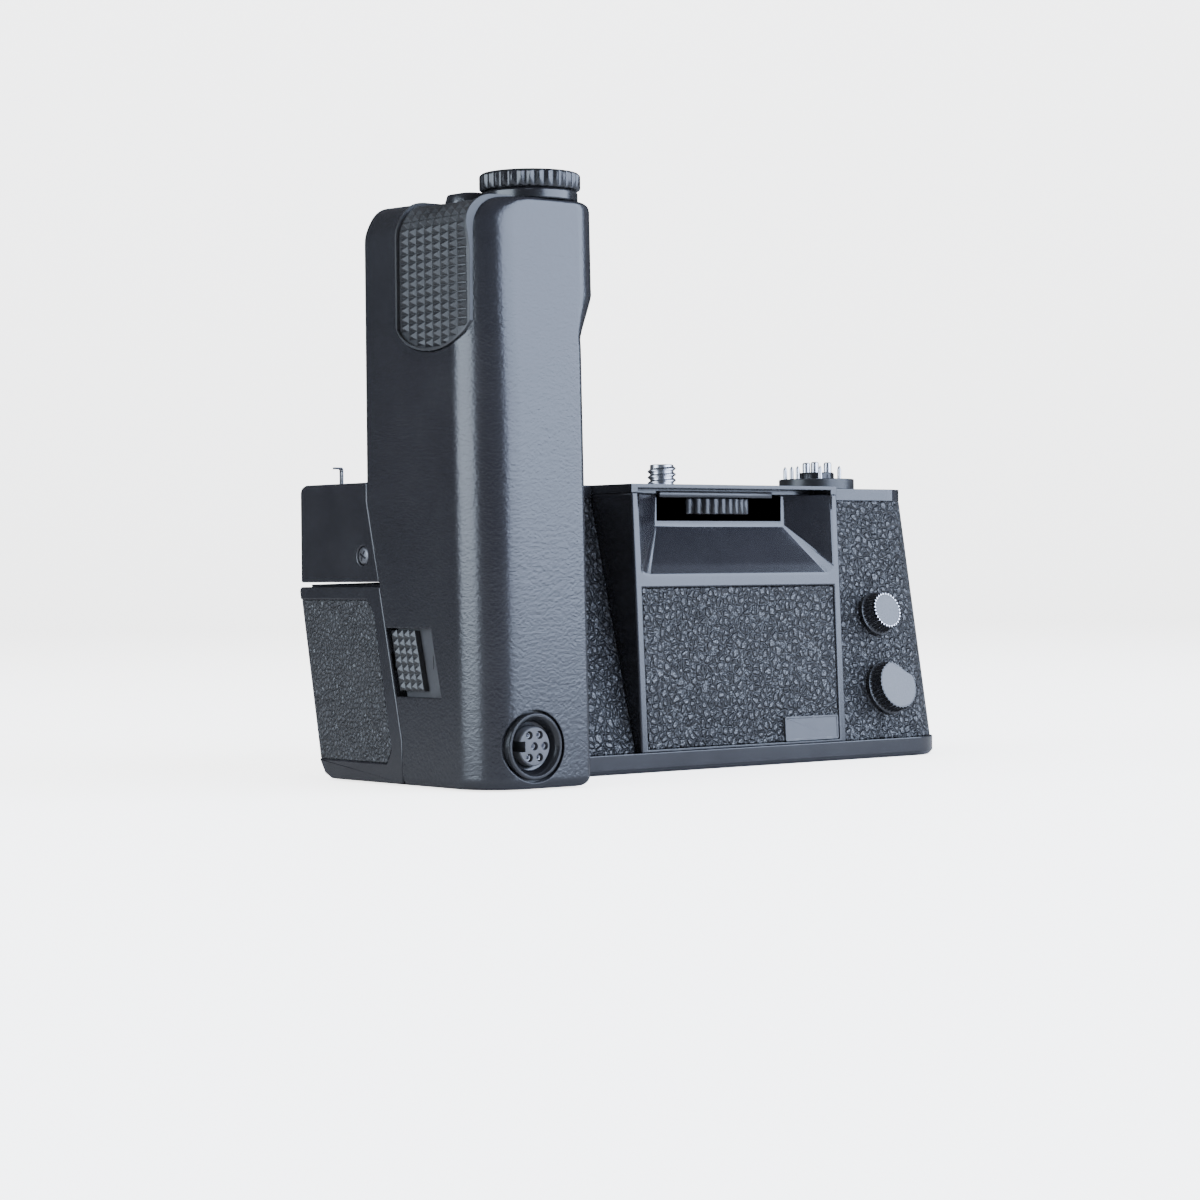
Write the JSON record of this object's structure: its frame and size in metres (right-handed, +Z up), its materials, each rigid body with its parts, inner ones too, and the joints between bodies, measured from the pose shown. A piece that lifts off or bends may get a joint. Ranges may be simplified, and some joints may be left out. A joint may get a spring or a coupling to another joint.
{
  "type": "camera power winder",
  "caption": "Motor winder that screws under a reflex camera, with an upright hand grip, release dial, battery drawer, drive coupler and front sockets.",
  "frame": {"origin": "on the base plane, at the centre of the tripod bush, under the camera screw", "axes": "+X along the body away from the grip, +Y to the rear, +Z up along the camera screw; the front with the finger recess faces -Y"},
  "size_m": [0.1508, 0.0716, 0.118],
  "materials": {
    "body_black": "satin black, fine texture",
    "leather": "black pebble-grain leatherette",
    "grip_black": "semi-gloss black with a fine hammered texture",
    "rubber_pad": "moulded black rubber",
    "gloss_black": "gloss black, knurled",
    "plate_grey": "satin",
    "steel": "bright, machined",
    "contact_gold": "plated contact metal",
    "insulator": "dull grey",
    "black_plastic": "moulded",
    "cell_sleeve": "shrink sleeve, bare",
    "board": "circuit board",
    "brass": "cut gears",
    "white_plastic": "dial card",
    "clear": "clear window",
    "lamp_red": "lens"
  },
  "bodies": {
    "body": {"main_casing": "body_black", "left_casing": "body_black", "centre_frame": "body_black", "top_plate": "body_black", "base_plate": "body_black", "rear_housing": "body_black", "leather_left": "leather", "leather_centre": "leather", "leather_right": "leather", "name_plate": "plate_grey", "grip_shell": "grip_black", "grip_back": "black_plastic", "grip_pad": "rubber_pad", "dial_collar": "gloss_black", "release_spring": "steel", "release_switch": "insulator", "grip_board": "board", "socket_ring": "gloss_black", "socket_insert": "insulator", "socket_contacts": "contact_gold", "latch_plate": "plate_grey", "latch_spring": "steel", "chamber_contacts": "contact_gold", "screw_bracket": "steel", "tripod_bush": "steel", "contact_disc": "black_plastic", "coupler_bush": "brass", "gear_plate": "steel", "motor_can": "steel", "circuit_board": "board", "leaf_hook": "steel", "terminal_sockets": "steel", "counter_window": "clear", "lamp_lenses": "lamp_red", "casing_screws": "steel"},
    "holder": {"end_cap": "body_black", "leather_cap": "leather", "battery_tray": "black_plastic", "battery_cells": "cell_sleeve", "cell_contacts": "contact_gold"},
    "latch": {"latch_slider": "black_plastic"},
    "dial": {"mode_ring": "gloss_black"},
    "button": {"release_button": "gloss_black"},
    "screw": {"camera_screw": "steel", "thumb_wheel": "gloss_black", "wheel_washer": "steel"},
    "coupler": {"drive_coupler": "steel", "coupler_gear": "brass"},
    "idler": {"reduction_gear": "brass"},
    "rotor": {"motor_pinion": "brass"},
    "upper_cap": {"cap_upper": "gloss_black"},
    "lower_cap": {"cap_lower": "gloss_black"},
    "pin_1": {"contact_pin_1": "contact_gold"},
    "pin_2": {"contact_pin_2": "contact_gold"},
    "pin_3": {"contact_pin_3": "contact_gold"},
    "pin_4": {"contact_pin_4": "contact_gold"},
    "pin_5": {"contact_pin_5": "contact_gold"},
    "counter": {"counter_dial": "white_plastic"},
    "lever": {"rewind_lever": "gloss_black"},
    "check": {"check_button": "gloss_black"}
  },
  "joints": [
    {"name": "holder_slide", "type": "slide", "parent": "body", "child": "holder", "axis": [-1, 0, 0], "range_m": [0, 0.112]},
    {"name": "latch_slide", "type": "slide", "parent": "body", "child": "latch", "axis": [0, -1, 0], "range_m": [0, 0.0038], "stiffness_N_per_m": 150, "springref_m": -0.002},
    {"name": "dial_turn", "type": "hinge", "parent": "body", "child": "dial", "pos_m": [-0.0644, -0.0375, 0.116], "axis": [0, 0, 1], "range_deg": [-60, 60]},
    {"name": "button_press", "type": "slide", "parent": "body", "child": "button", "axis": [0, 0, -1], "range_m": [0, 0.0015], "stiffness_N_per_m": 400, "springref_m": -0.001, "deforming": ["release_spring"]},
    {"name": "screw_turn", "type": "hinge", "parent": "body", "child": "screw", "pos_m": [0, 0, 0.055], "axis": [0, 0, 1], "continuous": true},
    {"name": "coupler_turn", "type": "hinge", "parent": "body", "child": "coupler", "pos_m": [0.0477, 0.002, 0.055], "axis": [0, 0, 1], "continuous": true},
    {"name": "idler_turn", "type": "hinge", "parent": "body", "child": "idler", "pos_m": [0.03672, 0.00905, 0.045], "axis": [0, 0, 1], "continuous": true},
    {"name": "rotor_turn", "type": "hinge", "parent": "body", "child": "rotor", "pos_m": [0.037, -0.003, 0.04], "axis": [0, 0, 1], "continuous": true},
    {"name": "upper_cap_off", "type": "slide", "parent": "body", "child": "upper_cap", "axis": [0, -0.9667, 0.2559], "range_m": [0, 0.012]},
    {"name": "lower_cap_off", "type": "slide", "parent": "body", "child": "lower_cap", "axis": [0, -0.9667, 0.2559], "range_m": [0, 0.012]},
    {"name": "pin_1_press", "type": "slide", "parent": "body", "child": "pin_1", "axis": [0, 0, -1], "range_m": [0, 0.001], "stiffness_N_per_m": 100, "springref_m": -0.0005},
    {"name": "pin_2_press", "type": "slide", "parent": "body", "child": "pin_2", "axis": [0, 0, -1], "range_m": [0, 0.001], "stiffness_N_per_m": 100, "springref_m": -0.0005},
    {"name": "pin_3_press", "type": "slide", "parent": "body", "child": "pin_3", "axis": [0, 0, -1], "range_m": [0, 0.001], "stiffness_N_per_m": 100, "springref_m": -0.0005},
    {"name": "pin_4_press", "type": "slide", "parent": "body", "child": "pin_4", "axis": [0, 0, -1], "range_m": [0, 0.001], "stiffness_N_per_m": 100, "springref_m": -0.0005},
    {"name": "pin_5_press", "type": "slide", "parent": "body", "child": "pin_5", "axis": [0, 0, -1], "range_m": [0, 0.001], "stiffness_N_per_m": 100, "springref_m": -0.0005},
    {"name": "counter_turn", "type": "hinge", "parent": "body", "child": "counter", "pos_m": [-0.006, 0.019, 0.0476], "axis": [0, 1, 0], "range_deg": [0, 330]},
    {"name": "lever_turn", "type": "hinge", "parent": "body", "child": "lever", "pos_m": [0.022, 0.02, 0.0476], "axis": [0, 1, 0], "range_deg": [0, 60]},
    {"name": "check_press", "type": "slide", "parent": "body", "child": "check", "axis": [0, -1, 0], "range_m": [0, 0.0008], "stiffness_N_per_m": 200, "springref_m": -0.0005}
  ],
  "couplings": [
    {"joint": "idler_turn", "follows": "coupler_turn", "ratio": -2.7143},
    {"joint": "rotor_turn", "follows": "coupler_turn", "ratio": 10.857}
  ]
}
